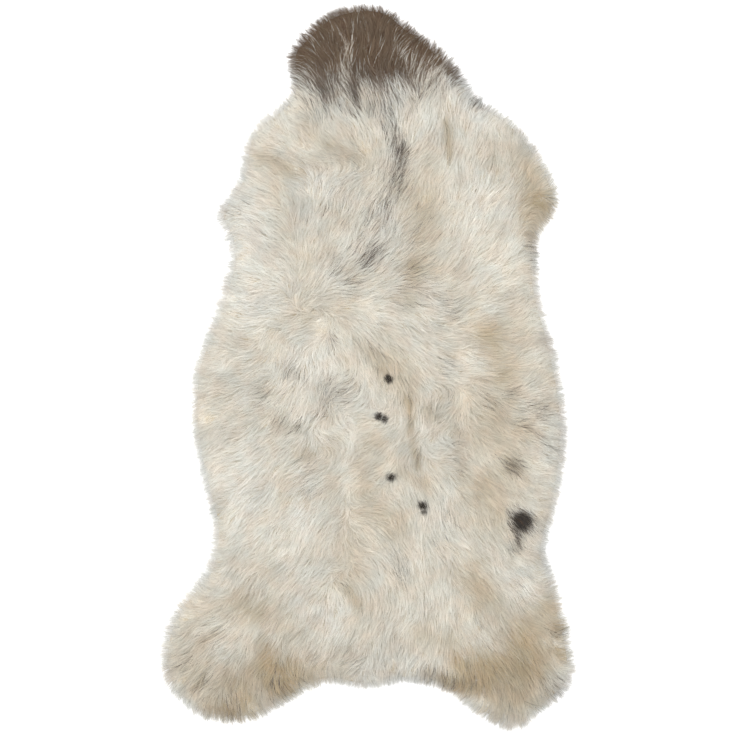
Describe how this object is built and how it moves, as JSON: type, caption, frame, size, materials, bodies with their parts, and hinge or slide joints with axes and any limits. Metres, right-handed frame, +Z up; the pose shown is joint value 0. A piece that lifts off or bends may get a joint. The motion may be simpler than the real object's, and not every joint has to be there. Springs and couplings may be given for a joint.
{
  "type": "sheepskin",
  "caption": "Flat-lying sheepskin rug with neck, foreleg and hind-leg lobes: thick cream wool with a dark brown neck over a thin tanned hide.",
  "frame": {"origin": "on the floor, under the middle of the skin's bounding box", "axes": "+Y towards the neck, -Y towards the hind legs, +X to the right as seen from above, +Z up out of the wool"},
  "size_m": [0.6374, 1.1046, 0.0386],
  "materials": {
    "hide": "matte suede, tanned, natural tan",
    "wool": "long soft wool, cream and grey-beige, dark brown at the neck"
  },
  "bodies": {
    "root": {"hide": "hide", "fleece": "wool"}
  },
  "joints": []
}
